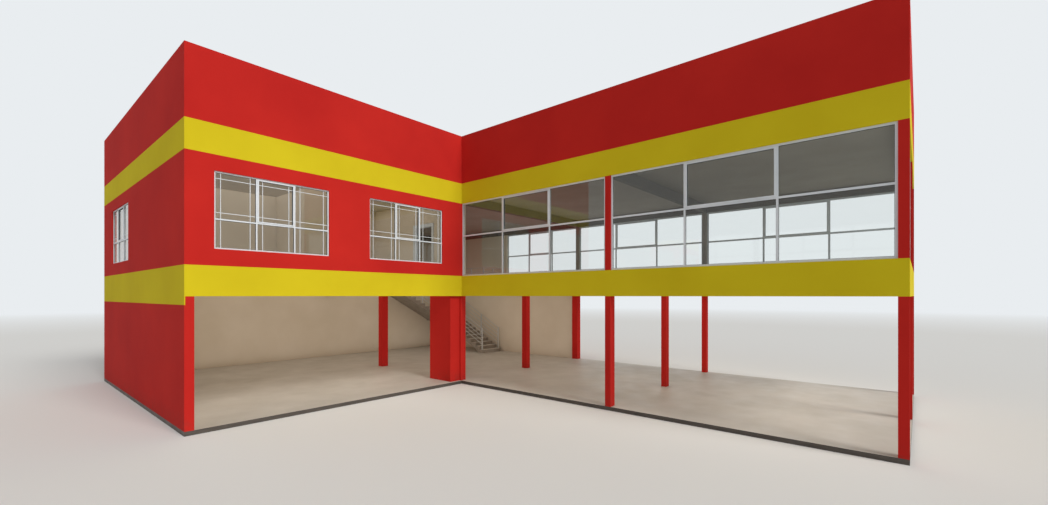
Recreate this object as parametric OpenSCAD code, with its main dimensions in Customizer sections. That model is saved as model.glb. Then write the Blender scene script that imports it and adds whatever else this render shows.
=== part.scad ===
// Two-storey fire station on an L-shaped plan, in red and yellow painted masonry.
// The left wing holds rooms over an open parking floor, the right wing is an open
// engine bay under a glazed hall, and a stair climbs in the rear left corner.
// X runs along the right wing's front, Y runs back, Z is up, all in millimetres.
// The origin is on the ground under the centre of the whole plan's box.

/* [Plan] */
// Length of the right wing's front, from the inner corner
right_len = 12950; // [11500:50:15000]
// Depth of the right wing and of the left wing's rear part
right_depth = 8050; // [7400:50:9500]
// Width of the left wing
left_width = 10910; // [10500:10:13000]
// Length of the left wing's front, from the inner corner
left_len = 8640; // [8200:20:11000]

/* [Storeys] */
// Thickness of the floor slab that shows above the ground
ground_slab_t = 110; // [80:5:200]
// Clear height under the lower yellow band
clear_h = 3180; // [2900:10:3800]
// Height of each yellow band
band_h = 750; // [600:10:900]
// Height of the upper floor above the lower band's underside
floor_rise = 470; // [330:10:640]
// Height between the two yellow bands
window_band_h = 2720; // [2500:10:3200]
// Height of the red parapet above the upper band
parapet_h = 1780; // [800:20:2400]
// Thickness of the upper floor slab
floor_t = 200; // [150:10:300]
// Thickness of the roof slab
roof_t = 200; // [150:10:300]

/* [Walls] */
// Thickness of the outer walls and bands
wall_t = 200; // [180:5:300]
// Drop of the yellow band below its soffit on the end wall
end_band_drop = 205; // [100:5:400]
// Thickness of the band's lap over the end wall
end_band_lap = 20; // [10:5:60]
// Thickness of the inner partitions
partition_t = 120; // [80:5:200]
// Width of the pier beside the inner corner
pier_w = 1195; // [800:5:1400]
// Depth of the pier beside the inner corner
pier_d = 455; // [350:5:700]
// Set-back of the pier from the left wing's front face
pier_gap = 115; // [60:5:190]

/* [Columns] */
// Width of the columns along the right wing's front, and side of the glazing's posts
column_w = 180; // [140:5:180]
// Depth of the columns along the right wing's front
column_d = 240; // [180:5:280]
// Side of the square columns behind the inner corner
corner_column_w = 250; // [200:5:280]
// Side of the left wing's square columns and of the one at the end of the rear wall
wing_column_w = 300; // [240:5:340]
// Distance from the inner corner to the axis of the columns behind it
corner_line_x = 180; // [170:5:200]
// Distance from the right wing's front to the middle row of columns
middle_row_y = 3950; // [3200:50:4600]
// Distance from the inner corner to the bay post's centre
bay_post_x = 6256; // [5600:4:6900]
// Distance from the inner corner to the left wing's inner columns
left_column_x = 5468; // [4600:4:5600]
// Depth of the ceiling beams, whose undersides line up with the glazing's head
beam_h = 330; // [200:10:400]

/* [Room windows] */
// Width of each room window
window_w = 2900; // [2000:20:3100]
// Height of each room window
window_h = 1915; // [1400:5:2200]
// Sill of the room windows above the lower yellow band
window_sill = 415; // [200:5:480]
// Gap from the front corner to the first window
window_1_gap = 610; // [500:10:900]
// Gap from the inner corner back to the second window
window_2_gap = 920; // [600:10:1100]
// Gap from the front corner to the window in the end wall
end_window_gap = 6400; // [5000:20:7000]
// Height of a window's lower row of panes
window_row_h = 735; // [500:5:900]
// Width of a room window's frame bars
window_bar_w = 36; // [26:2:60]
// Width of the bars of a room window's opening sash
window_sash_w = 70; // [50:2:100]

/* [Glazing] */
// Width of the hall glazing's frame bars
glazing_bar_w = 50; // [30:2:80]
// Width of the bars of the hall glazing's opening sashes
glazing_sash_w = 90; // [60:2:120]
// Depth of the frame bars through the wall
frame_d = 60; // [40:2:90]
// Set-back of the frames from the wall's face
frame_inset = 40; // [20:2:60]
// Thickness of the glass
glass_t = 10; // [6:1:16]
// Height of the hall glazing's lower row of panes
hall_row_h = 1497; // [1000:1:1900]
// Length of the rear glazing to the left of the inner corner
rear_left_len = 4940; // [4000:20:5200]

/* [Rooms] */
// Distance from the left wing's front face to the corridor partition
corridor_x = 5696; // [5500:4:6200]
// Distance from the inner corner to the partition between the rooms
room_split_y = 4256; // [4000:4:4600]
// Distance from the left wing's front face to the doorway
door_gap = 1580; // [1000:10:2500]
// Clear width of the doorway
door_w = 1170; // [900:10:1300]
// Clear height of the doorway
door_h = 2350; // [2000:10:2500]
// Width of the doorway's frame
door_frame_w = 60; // [40:2:100]

/* [Stair] */
// Width of the upper flight and depth of the landing
stair_w = 1500; // [1300:10:1500]
// Gap between the lower flight and the rear wall
stair_gap = 165; // [50:5:200]
// Number of risers below the landing
lower_risers = 10; // [9:1:11]
// Number of risers above the landing
upper_risers = 10; // [8:1:11]
// Going of the lower flight's treads
lower_going = 350; // [300:5:360]
// Going of the upper flight's treads
upper_going = 330; // [300:5:340]
// Distance from the inner corner to the first riser
first_riser_x = 5248; // [5100:4:5400]
// Thickness of the flights under their steps
waist_t = 150; // [120:5:220]
// Width of the beams at the heads of the flights
edge_beam_w = 200; // [150:10:300]
// Height of the railings
rail_h = 1100; // [900:10:1100]
// Side of the railing posts
rail_post_w = 50; // [36:2:60]
// Number of bars in each railing, with its handrail
rail_bars = 5; // [3:1:7]
// Diameter of the railing bars
rail_bar_d = 30; // [20:2:40]

/* [Hidden] */

RED = "#B3232B";
YELLOW = "#CFC11F";
PLASTER = "#D2C6B0";
CONCRETE = "#8E8A84";
FRAME = "#E6E9EB";
GLASS = "#A9C4CF";
STEEL = "#C8CBCE";

// Levels above the ground
floor_z = ground_slab_t;
band_z = floor_z + clear_h;
sill_z = band_z + band_h;
head_z = sill_z + window_band_h;
parapet_z = head_z + band_h;
top_z = parapet_z + parapet_h;
upper_z = band_z + floor_rise;
soffit_z = upper_z - floor_t;
ceiling_z = head_z + beam_h;
storey_h = upper_z - floor_z;
end_band_z = band_z - end_band_drop;

// Faces of the walls, from the inner corner of the L
x_left = -left_width;
x_left_in = x_left + wall_t;
x_front_in = -wall_t;
x_right = right_len;
x_right_in = x_right - wall_t;
y_near = -left_len;
y_near_in = y_near + wall_t;
y_back = right_depth;
y_back_in = y_back - wall_t;
corner_x = left_width - (left_width + right_len) / 2;
corner_y = left_len - (left_len + right_depth) / 2;

// Post lines: the outer ones are flush with the building's faces
column_x = [-column_w, bay_post_x - column_w / 2, x_right - column_w];
back_column_y = y_back - column_w;
corner_beam_x = -corner_line_x - wing_column_w / 2;

// The stair: its lower flight lies along the rear wall, its upper one along the left wall
// and starts one tread behind the lower one's near side
riser = storey_h / (lower_risers + upper_risers);
landing_z = floor_z + lower_risers * riser;
landing_x = -first_riser_x - (lower_risers - 1) * lower_going;
stair_y = y_back_in - stair_w;
stair_x = x_left_in + stair_w;
upper_foot_y = stair_y + upper_going;
upper_end_y = upper_foot_y - (upper_risers - 1) * upper_going;
void_x = -first_riser_x - rail_post_w;

// The hall's glazing: three lights to a bay, the middle one with an opening sash
light_count = 3;
end_light_count = 2;
glazing_h = head_z - sill_z;
window_z = sill_z + window_sill;

// A box between two corners, moved from the inner corner to the building's own origin
module block(a, b) {
    translate([corner_x, corner_y, 0]) translate(a) cube(b - a);
}

// Posts of width w and depth d at the given places, with their lower left corners there
module posts(places, z1, z2, w = column_w, d = column_w) {
    for (p = places) block([p[0], p[1], z1], [p[0] + w, p[1] + d, z2]);
}

// Floor slabs on the ground
module left_wing_floor() {
    color(CONCRETE) block([x_left, y_near, 0], [0, y_back, floor_z]);
}

module right_wing_floor() {
    color(CONCRETE) block([0, 0, 0], [x_right, y_back, floor_z]);
}

// Walls of the open ground floor
module ground_end_wall() {
    color(RED) difference() {
        block([x_left, y_near, floor_z], [0, y_near_in, band_z]);
        block([x_left, y_near, end_band_z], [0, y_near + end_band_lap, band_z]);
    }
}

module ground_left_wall() {
    color(RED) block([x_left, y_near_in, floor_z], [x_left_in, y_back, band_z]);
}

module ground_rear_wall() {
    color(RED) block([x_left_in, y_back_in, floor_z], [corner_beam_x, y_back, band_z]);
}

// The broad pier rises under the band's edge and behind it to the floor slab
module corner_pier() {
    x = -pier_gap - pier_w;
    color(RED) block([x, -pier_d, floor_z], [-pier_gap, 0, band_z]);
    color(RED) block([x, -pier_d, floor_z], [x_front_in, 0, soffit_z]);
}

// Columns on the axis behind the inner corner, with side w and near face at y
module corner_line_column(y, w) {
    color(RED) posts([[-corner_line_x - w / 2, y]], floor_z, band_z, w, w);
}

// Columns of the bay and of the free end, with their near faces at y
module bay_columns(y) {
    color(RED) posts([for (i = [1, 2]) [column_x[i], y]], floor_z, band_z, column_w, column_d);
}

// Rows of columns
module left_wing_columns() {
    w = wing_column_w;
    x = -left_column_x - w / 2;
    color(RED) posts([[x, 0]], floor_z, band_z, w, w);
    color(RED) posts([[x, middle_row_y - w / 2]], floor_z, soffit_z, w, w);
}

module front_columns() {
    corner_line_column(0, corner_column_w);
    bay_columns(0);
}

module middle_columns() {
    corner_line_column(middle_row_y - corner_column_w / 2, corner_column_w);
    bay_columns(middle_row_y - column_d / 2);
}

module rear_columns() {
    corner_line_column(y_back - wing_column_w, wing_column_w);
    bay_columns(y_back - column_d);
}

// Upper floor slabs, which leave the stairwell open, cast in one with the beams
// under them, whose undersides line up with the yellow band's
module rooms_floor() {
    color(PLASTER) block([x_left_in, y_near_in, soffit_z], [x_front_in, wall_t, upper_z]);
    color(PLASTER) block([x_left_in, 0, band_z], [x_front_in, wall_t, upper_z]);
    color(PLASTER) block([x_left_in, 0, band_z], [corner_beam_x, wing_column_w, soffit_z]);
}

module stair_hall_floor() {
    beam = riser + waist_drop(upper_going);
    color(PLASTER) difference() {
        block([x_left_in, wall_t, soffit_z], [void_x, stair_y, upper_z]);
        block([x_left_in, upper_end_y, soffit_z], [stair_x, stair_y, upper_z]);
    }
    color(PLASTER) block([x_left_in, upper_end_y - edge_beam_w, upper_z - beam],
                         [stair_x, upper_end_y, upper_z]);
}

module hall_floor() {
    color(PLASTER) block([void_x, wall_t, soffit_z], [x_right_in, y_back_in, upper_z]);
    for (b = [[corner_beam_x, wing_column_w], [column_x[1], column_w]])
        color(PLASTER) block([b[0], wall_t, band_z], [b[0] + b[1], y_back_in, upper_z]);
}

// Three walls that face the front or the back, of one height
module front_back_walls(z1, z2) {
    block([x_left, y_near, z1], [0, y_near_in, z2]);
    block([x_front_in, 0, z1], [x_right, wall_t, z2]);
    block([x_left, y_back_in, z1], [x_right, y_back, z2]);
}

// Three walls that face the sides, of one height, between the others
module side_walls(z1, z2) {
    block([x_left, y_near_in, z1], [x_left_in, y_back_in, z2]);
    block([x_front_in, y_near_in, z1], [0, 0, z2]);
    block([x_right_in, wall_t, z1], [x_right, y_back_in, z2]);
}

// Lower yellow band, with its lap down over the end wall
module lower_band_front_back() {
    color(YELLOW) front_back_walls(band_z, sill_z);
    color(YELLOW) block([x_left, y_near, end_band_z], [0, y_near + end_band_lap, band_z]);
}

module lower_band_sides() {
    color(YELLOW) side_walls(band_z, sill_z);
}

// Red walls between the bands
module window_hole(a, b) {
    block([a[0], a[1], window_z], [b[0], b[1], window_z + window_h]);
}

module upper_end_wall() {
    x = -end_window_gap;
    color(RED) difference() {
        block([x_left, y_near, sill_z], [0, y_near_in, head_z]);
        window_hole([x - window_w, y_near], [x, y_near_in]);
    }
}

window_1_y = y_near + window_1_gap;
window_2_y = -window_2_gap - window_w;

module upper_front_wall() {
    color(RED) difference() {
        block([x_front_in, y_near_in, sill_z], [0, wall_t, head_z]);
        for (y = [window_1_y, window_2_y]) window_hole([x_front_in, y], [0, y + window_w]);
    }
}

module upper_left_wall() {
    color(RED) block([x_left, y_near_in, sill_z], [x_left_in, y_back_in, head_z]);
}

module upper_rear_wall() {
    color(RED) block([x_left, y_back_in, sill_z], [-rear_left_len, y_back, head_z]);
}

// Posts between the bands
module upper_front_posts() {
    color(RED) posts([[column_x[1], 0], [column_x[2], 0]], sill_z, head_z);
}

module upper_back_posts() {
    color(RED) posts([for (x = column_x) [x, back_column_y]], sill_z, head_z);
    color(RED) posts([[column_x[2], middle_row_y - column_w / 2]], sill_z, head_z);
}

// Upper yellow band and red parapet
module upper_band_front_back() {
    color(YELLOW) front_back_walls(head_z, parapet_z);
}

module upper_band_sides() {
    color(YELLOW) side_walls(head_z, parapet_z);
}

module parapet_front_back() {
    color(RED) front_back_walls(parapet_z, top_z);
}

module parapet_sides() {
    color(RED) side_walls(parapet_z, top_z);
}

// Roof slabs inside the parapet and the beams under them
module ceiling_beams() {
    for (x = [column_x[0], column_x[1]])
        color(PLASTER) block([x, wall_t, head_z], [x + column_w, y_back_in, ceiling_z]);
}

module left_wing_roof() {
    color(PLASTER) block([x_left_in, y_near_in, ceiling_z],
                         [x_front_in, wall_t, ceiling_z + roof_t]);
}

module right_wing_roof() {
    color(PLASTER) block([x_left_in, wall_t, ceiling_z],
                         [x_right_in, y_back_in, ceiling_z + roof_t]);
}

// A window drawn in its own plane: u runs along it, v up, and the depth runs back
// from its face. bars holds the widths of its frame bars and of its sash's bars.
// Lights of equal width stand in two rows, and where there are three of them the
// middle light of the upper row has an opening sash.
function has_sash(i, r, lights) = lights == light_count && i == floor(lights / 2) && r == 1;

// Left, right, lower and upper edges of the pane of light i in row r
function pane_edges(i, r, w, h, lights, row_h, bars) =
    let (bar = bars[0], light_w = w / lights, sash = has_sash(i, r, lights),
         inner = sash ? bars[1] - bar / 2 : bar / 2, outer = sash ? bars[1] : bar)
    [i * light_w + (i == 0 ? outer : inner),
     (i + 1) * light_w - (i == lights - 1 ? outer : inner),
     r == 0 ? outer : row_h + inner,
     r == 1 ? h - outer : row_h - inner];

module window_panes(w, h, lights, row_h, bars) {
    for (i = [0 : lights - 1], r = [0, 1]) {
        e = pane_edges(i, r, w, h, lights, row_h, bars);
        translate([e[0], (frame_d - glass_t) / 2, e[2]]) cube([e[1] - e[0], glass_t, e[3] - e[2]]);
    }
}

module window_frame(w, h, lights, row_h, bars) {
    difference() {
        cube([w, frame_d, h]);
        for (i = [0 : lights - 1], r = [0, 1]) {
            e = pane_edges(i, r, w, h, lights, row_h, bars);
            translate([e[0], -frame_d, e[2]]) cube([e[1] - e[0], 3 * frame_d, e[3] - e[2]]);
        }
    }
}

// Puts a window drawn in its own plane into a wall that faces the front,
// the right side, or the back
module in_front_wall(x, y, z) {
    translate([corner_x + x, corner_y + y + frame_inset, z]) children();
}

module in_right_wall(x, y, z) {
    translate([corner_x + x - frame_inset, corner_y + y, z]) rotate([0, 0, 90]) children();
}

module in_back_wall(x, y, z) {
    translate([corner_x + x, corner_y + y - frame_inset, z]) mirror([0, 1, 0]) children();
}

// Room windows
window_bars = [window_bar_w, window_sash_w];

module front_windows() {
    for (y = [window_1_y, window_2_y]) in_right_wall(0, y, window_z) children();
}

module room_window_frame() {
    window_frame(window_w, window_h, light_count, window_row_h, window_bars);
}

module room_window_panes() {
    window_panes(window_w, window_h, light_count, window_row_h, window_bars);
}

module front_window_frames() {
    color(FRAME) front_windows() room_window_frame();
}

module front_window_glass() {
    color(GLASS) front_windows() room_window_panes();
}

module end_window() {
    in_front_wall(-end_window_gap - window_w, y_near, window_z) children();
}

module end_window_frame() {
    color(FRAME) end_window() room_window_frame();
}

module end_window_glass() {
    color(GLASS) end_window() room_window_panes();
}

// Hall glazing: each bay runs from one post's face to the next
glazing_bars = [glazing_bar_w, glazing_sash_w];
front_bays = [[0, column_x[1]], [column_x[1] + column_w, column_x[2]]];
back_bays = [[-rear_left_len, column_x[0]], [0, column_x[1]],
             [column_x[1] + column_w, column_x[2]]];
end_bays = [[column_w, middle_row_y - column_w / 2],
            [middle_row_y + column_w / 2, back_column_y]];

module bay_frame(b, lights) {
    window_frame(b[1] - b[0], glazing_h, lights, hall_row_h, glazing_bars);
}

module bay_panes(b, lights) {
    window_panes(b[1] - b[0], glazing_h, lights, hall_row_h, glazing_bars);
}

module front_glazing_frame() {
    color(FRAME) for (b = front_bays) in_front_wall(b[0], 0, sill_z) bay_frame(b, light_count);
}

module front_glazing_glass() {
    color(GLASS) for (b = front_bays) in_front_wall(b[0], 0, sill_z) bay_panes(b, light_count);
}

module rear_glazing_frame() {
    color(FRAME) for (b = back_bays) in_back_wall(b[0], y_back, sill_z) bay_frame(b, light_count);
}

module rear_glazing_glass() {
    color(GLASS) for (b = back_bays) in_back_wall(b[0], y_back, sill_z) bay_panes(b, light_count);
}

module end_glazing_frame() {
    color(FRAME) for (b = end_bays)
        in_right_wall(x_right, b[0], sill_z) bay_frame(b, end_light_count);
}

module end_glazing_glass() {
    color(GLASS) for (b = end_bays)
        in_right_wall(x_right, b[0], sill_z) bay_panes(b, end_light_count);
}

// Partitions of the rooms
module corridor_partition() {
    color(PLASTER) block([-corridor_x - partition_t, y_near_in, upper_z],
                         [-corridor_x, -partition_t, ceiling_z]);
}

module rooms_partition() {
    color(PLASTER) block([-corridor_x, -room_split_y - partition_t, upper_z],
                         [x_front_in, -room_split_y, ceiling_z]);
}

door_x2 = -door_gap;
door_x1 = door_x2 - door_w;

module hall_partition() {
    color(PLASTER) block([x_left_in, -partition_t, upper_z], [door_x1, 0, ceiling_z]);
    color(PLASTER) block([door_x2, -partition_t, upper_z], [x_front_in, 0, ceiling_z]);
}

module doorway_head() {
    color(PLASTER) block([door_x1, -partition_t, upper_z + door_h], [door_x2, 0, ceiling_z]);
}

module doorway_frame() {
    w = door_frame_w;
    color(FRAME) difference() {
        block([door_x1, -partition_t, upper_z], [door_x2, 0, upper_z + door_h]);
        block([door_x1 + w, -partition_t, upper_z], [door_x2 - w, 0, upper_z + door_h - w]);
    }
}

// Depth of a flight under its steps, measured straight down
function waist_drop(going) = waist_t * sqrt(1 + pow(riser / going, 2));

// A flight in its own plane: u runs up the stair from the first riser, v is up.
// Its soffit is parallel to the nosings. A flight on the ground is cut level at its
// foot, and one that hangs on a slab's edge is cut upright there.
module flight_profile(risers, going, on_ground) {
    run = (risers - 1) * going;
    slope = riser / going;
    drop = waist_drop(going);
    steps = [for (i = [0 : risers - 2], k = [0, 1]) [(i + k) * going, (i + 1) * riser]];
    foot = on_ground ? [drop / slope, 0] : [0, -drop];
    polygon(concat([[0, 0]], steps, [[run, run * slope - drop], foot]));
}

module lower_flight() {
    y = corner_y + y_back_in - stair_gap;
    color(CONCRETE) translate([corner_x - first_riser_x, y, floor_z])
        rotate([90, 0, 0]) linear_extrude(stair_w - stair_gap) mirror([1, 0, 0])
            flight_profile(lower_risers, lower_going, true);
}

// The landing is cut out for the upper flight's first tread, and has a beam at the
// edge that the lower flight leans on
module stair_landing() {
    beam = riser + waist_drop(lower_going);
    color(CONCRETE) difference() {
        block([x_left_in, stair_y, landing_z - floor_t], [landing_x, y_back_in, landing_z]);
        block([x_left_in, stair_y, landing_z - floor_t], [stair_x, upper_foot_y, landing_z]);
    }
    color(CONCRETE) block([landing_x - edge_beam_w, stair_y, landing_z - beam],
                          [landing_x, y_back_in, landing_z]);
}

module upper_flight() {
    color(CONCRETE) translate([corner_x + stair_x, corner_y + upper_foot_y, landing_z])
        rotate([90, 0, -90]) linear_extrude(stair_w)
            flight_profile(upper_risers, upper_going, false);
}

// A railing in its own plane: u runs along it and slope is its climb. Each post is
// given by its middle and the height of what it stands on, and bars run from the first
// post to the last, parallel to the climb.
module railing(post_list, slope) {
    w = rail_post_w;
    first = post_list[0][0];
    run = post_list[len(post_list) - 1][0] - first;
    for (p = post_list)
        translate([p[0] - w / 2, 0, p[1]]) cube([w, w, rail_h + p[0] * slope - p[1]]);
    for (i = [1 : rail_bars])
        translate([first, w / 2, rail_h * i / rail_bars - rail_bar_d / 2 + first * slope])
            rotate([0, 90 - atan(slope), 0])
                cylinder(d = rail_bar_d, h = run * sqrt(1 + slope * slope), $fn = 24);
}

// Posts in the middle of every fourth tread or so, with the tread's own height
function tread_posts(treads, gap, going) =
    [for (i = [0 : gap : treads - 1]) [(i + 0.5) * going, i * riser]];

// The lower flight has a railing at each side
module lower_railing() {
    for (y = [stair_y, y_back_in - stair_gap - rail_post_w])
        color(STEEL) translate([corner_x - first_riser_x, corner_y + y, floor_z + riser])
            mirror([1, 0, 0])
                railing(tread_posts(lower_risers - 1, 4, lower_going), riser / lower_going);
}

// The upper flight's open side and the landing's near edge have one each
module upper_railing() {
    color(STEEL)
        translate([corner_x + stair_x - rail_post_w, corner_y + upper_foot_y,
                   landing_z + riser])
            rotate([0, 0, -90]) mirror([0, 1, 0]) translate([0, -rail_post_w, 0])
                railing(tread_posts(upper_risers - 1, 4, upper_going), riser / upper_going);
    color(STEEL) translate([corner_x + stair_x, corner_y + stair_y, landing_z])
        railing(level_posts(landing_x - stair_x, 1), 0);
}

// Posts at equal distances between two ends, on a level floor
function level_posts(run, gaps) =
    [for (i = [0 : gaps]) [rail_post_w / 2 + i * (run - rail_post_w) / gaps, 0]];

// The guard follows the stairwell's edge on its three open sides
module stairwell_guard() {
    run_x = void_x - stair_x;
    run_y = stair_y - upper_end_y;
    w = rail_post_w;
    color(STEEL) translate([corner_x + stair_x, corner_y + stair_y - w, upper_z])
        railing(level_posts(run_x + w, 4), 0);
    color(STEEL) translate([corner_x + stair_x + w, corner_y + upper_end_y, upper_z])
        rotate([0, 0, 90]) railing(level_posts(run_y, 3), 0);
    color(STEEL) translate([corner_x + void_x + w, corner_y + stair_y - w, upper_z])
        rotate([0, 0, 90]) railing(level_posts(stair_w + w, 2), 0);
}

left_wing_floor();
right_wing_floor();
ground_end_wall();
ground_left_wall();
ground_rear_wall();
corner_pier();
left_wing_columns();
front_columns();
middle_columns();
rear_columns();
rooms_floor();
stair_hall_floor();
hall_floor();
lower_band_front_back();
lower_band_sides();
upper_end_wall();
upper_front_wall();
upper_left_wall();
upper_rear_wall();
upper_front_posts();
upper_back_posts();
upper_band_front_back();
upper_band_sides();
parapet_front_back();
parapet_sides();
ceiling_beams();
left_wing_roof();
right_wing_roof();
front_window_frames();
end_window_frame();
front_window_glass();
end_window_glass();
front_glazing_frame();
end_glazing_frame();
rear_glazing_frame();
front_glazing_glass();
end_glazing_glass();
rear_glazing_glass();
corridor_partition();
rooms_partition();
hall_partition();
doorway_head();
doorway_frame();
lower_flight();
stair_landing();
upper_flight();
lower_railing();
upper_railing();
stairwell_guard();
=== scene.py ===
# A two-storey fire station on an L-shaped plan, in red and yellow painted masonry.
# The sections follow the order in which such a building goes up, from the ground slabs
# to the roofing felt, and the studio and the camera come last. Lengths are in metres.
import math

import bmesh
import bpy
from mathutils import Matrix, Vector


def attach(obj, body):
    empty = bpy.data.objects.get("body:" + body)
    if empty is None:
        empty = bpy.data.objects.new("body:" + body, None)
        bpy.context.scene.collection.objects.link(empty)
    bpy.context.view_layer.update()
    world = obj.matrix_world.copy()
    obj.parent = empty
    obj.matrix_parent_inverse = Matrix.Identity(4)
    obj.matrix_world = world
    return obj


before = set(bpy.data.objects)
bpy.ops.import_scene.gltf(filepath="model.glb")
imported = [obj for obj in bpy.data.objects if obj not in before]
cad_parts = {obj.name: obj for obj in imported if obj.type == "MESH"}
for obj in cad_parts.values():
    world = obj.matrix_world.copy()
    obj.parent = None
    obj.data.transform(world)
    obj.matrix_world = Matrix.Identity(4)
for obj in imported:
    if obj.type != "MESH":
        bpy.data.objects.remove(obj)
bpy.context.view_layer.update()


# Ground slabs: concrete laid in place and power-floated, which leaves a dense, faintly
# clouded top with a low sheen. The edges keep level board streaks, and their colour is
# painted shade, far darker than the top.
def linear(code):
    """The linear colour of an sRGB hex value such as "B9B2A8"."""
    parts = [int(code[i:i + 2], 16) / 255 for i in (0, 2, 4)]
    return (*[c / 12.92 if c <= 0.04045 else ((c + 0.055) / 1.055) ** 2.4 for c in parts],
            1.0)


def node(tree, kind, links=None, **settings):
    """Adds a node. links gives its inputs a value, a node, a socket or a list of those."""
    made = tree.nodes.new(kind)
    for name, value in settings.items():
        setattr(made, name, value)
    for key, value in (links or {}).items():
        for one in value if isinstance(value, list) else [value]:
            if isinstance(one, bpy.types.Node):
                one = one.outputs[0]
            if isinstance(one, bpy.types.NodeSocket):
                tree.links.new(one, made.inputs[key])
            else:
                made.inputs[key].default_value = one
    return made


def finish(name, **sockets):
    """A material with one Principled shader, and the Object coordinates for its patterns."""
    mat = bpy.data.materials.new(name)
    mat.use_nodes = True
    tree = mat.node_tree
    tree.nodes.clear()
    place = node(tree, "ShaderNodeTexCoord").outputs["Object"]
    shader = node(tree, "ShaderNodeBsdfPrincipled",
                  {key.replace("_", " "): value for key, value in sockets.items()})
    node(tree, "ShaderNodeOutputMaterial", {"Surface": shader})
    return mat, tree, shader, place


def clouds(tree, place, size, detail=3.0, stretch=(1, 1, 1)):
    """A pattern from 0 to 1 whose blotches are about size across, times stretch."""
    scaled = node(tree, "ShaderNodeVectorMath",
                  {0: place, 1: tuple(1 / s for s in stretch)}, operation="MULTIPLY")
    return node(tree, "ShaderNodeTexNoise",
                {"Vector": scaled, "Scale": 1 / size, "Detail": detail})


def tint(tree, colour, other, pattern, most=1.0):
    """Lays another colour over the first where the pattern is strong, at most by a share."""
    share = node(tree, "ShaderNodeMapRange", {
        "Value": pattern, "From Min": 0.3, "From Max": 0.7, "To Min": 0.0, "To Max": most})
    return node(tree, "ShaderNodeMix", {0: share, 6: colour, 7: other},
                data_type="RGBA").outputs[2]


def top_and_sides(tree, top, sides):
    """One colour on the faces that look up, and another on all others."""
    normal = node(tree, "ShaderNodeNewGeometry").outputs["Normal"]
    upwards = node(tree, "ShaderNodeSeparateXYZ", {0: normal}).outputs[2]
    looks_up = node(tree, "ShaderNodeMath", {0: upwards, 1: 0.5}, operation="GREATER_THAN")
    return node(tree, "ShaderNodeMix", {0: looks_up, 6: sides, 7: top},
                data_type="RGBA").outputs[2]


def surface(tree, shader, colour, gloss=None, relief=None):
    """Gives a finish its colour. gloss is a pattern with the lowest and highest roughness
    that it swings between, and relief is one with its strength and its height."""
    tree.links.new(colour, shader.inputs["Base Color"])
    if gloss:
        pattern, smooth, rough = gloss
        swing = node(tree, "ShaderNodeMapRange", {
            "Value": pattern, "From Min": 0.3, "From Max": 0.7,
            "To Min": smooth, "To Max": rough})
        tree.links.new(swing.outputs[0], shader.inputs["Roughness"])
    if relief:
        pattern, strength, height = relief
        bump = node(tree, "ShaderNodeBump", {
            "Height": pattern, "Strength": strength, "Distance": height})
        tree.links.new(bump.outputs[0], shader.inputs["Normal"])


def dress(mat, *names):
    """Gives CAD nodes a material."""
    for name in names:
        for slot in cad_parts[name].material_slots:
            slot.material = mat


SLAB_TOP, SLAB_CLOUD = linear("C2BBB1"), linear("B1AA9F")
# The edge colours are painted shade: every side is drawn far darker than the top.
SLAB_SIDE_SHADE, SLAB_SIDE_SHADE_DEEP = linear("544C45"), linear("433C37")
slab, tree, shader, place = finish("power_floated_concrete", IOR=1.5)
top = tint(tree, SLAB_TOP, SLAB_CLOUD, clouds(tree, place, 1.4, 6))
# The aggregate's grain is a few millimetres across and is drawn at 12 mm to show.
grain = clouds(tree, place, 0.012, 2)
top = tint(tree, top, SLAB_CLOUD, grain, 0.22)
# The boards left level streaks, about 50 mm high and eight times as long, on sides whose
# dark colour is painted shade.
edge = tint(tree, SLAB_SIDE_SHADE, SLAB_SIDE_SHADE_DEEP, clouds(tree, place, 0.05, 3, (8, 8, 1)))
surface(tree, shader, top_and_sides(tree, top, edge),
        gloss=(clouds(tree, place, 0.5, 4), 0.42, 0.62), relief=(grain, 0.25, 0.001))
dress(slab, "left_wing_floor", "right_wing_floor")


# Outer walls, piers and columns: hollow block under cement render, rolled outside with two
# coats of matt masonry paint. Inside, the walls are skimmed and painted beige, and the
# posts of the glazed hall take the grey-beige of its ceiling, which is painted shade.
HALF_X, HALF_Y = 11.930, 8.345
CORNER_X, CORNER_Y = -1.020, 0.295
GROUND_TOP, TOP, FRAME_MID = 0.110, 9.290, 0.070
STREAK_H, SPLASH_H = 1.300, 0.450
RED, RED_DEEP = linear("C62922"), linear("B8221E")
PLASTER, PLASTER_DEEP = linear("DACDBA"), linear("D0C2AD")
# The hall's grey-beige is its ceiling paint drawn darker, as painted shade.
HALL_SHADE, HALL_SHADE_DEEP = linear("9A9186"), linear("90877C")
SOIL = linear("5A4238")


def wall_depth(tree, place):
    """How far a point lies in from the outline of the L-shaped plan."""
    xyz = node(tree, "ShaderNodeSeparateXYZ", {0: place})
    x, y = xyz.outputs[0], xyz.outputs[1]
    past_x = node(tree, "ShaderNodeMath", {0: CORNER_X, 1: x}, operation="SUBTRACT")
    past_y = node(tree, "ShaderNodeMath", {0: y, 1: CORNER_Y}, operation="SUBTRACT")
    depth = node(tree, "ShaderNodeMath", {0: past_x, 1: past_y}, operation="MAXIMUM")
    for half, along in ((HALF_X, x), (HALF_Y, y)):
        off = node(tree, "ShaderNodeMath", {0: along}, operation="ABSOLUTE")
        inwards = node(tree, "ShaderNodeMath", {0: half, 1: off}, operation="SUBTRACT")
        depth = node(tree, "ShaderNodeMath", {0: depth, 1: inwards}, operation="MINIMUM")
    return depth


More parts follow.
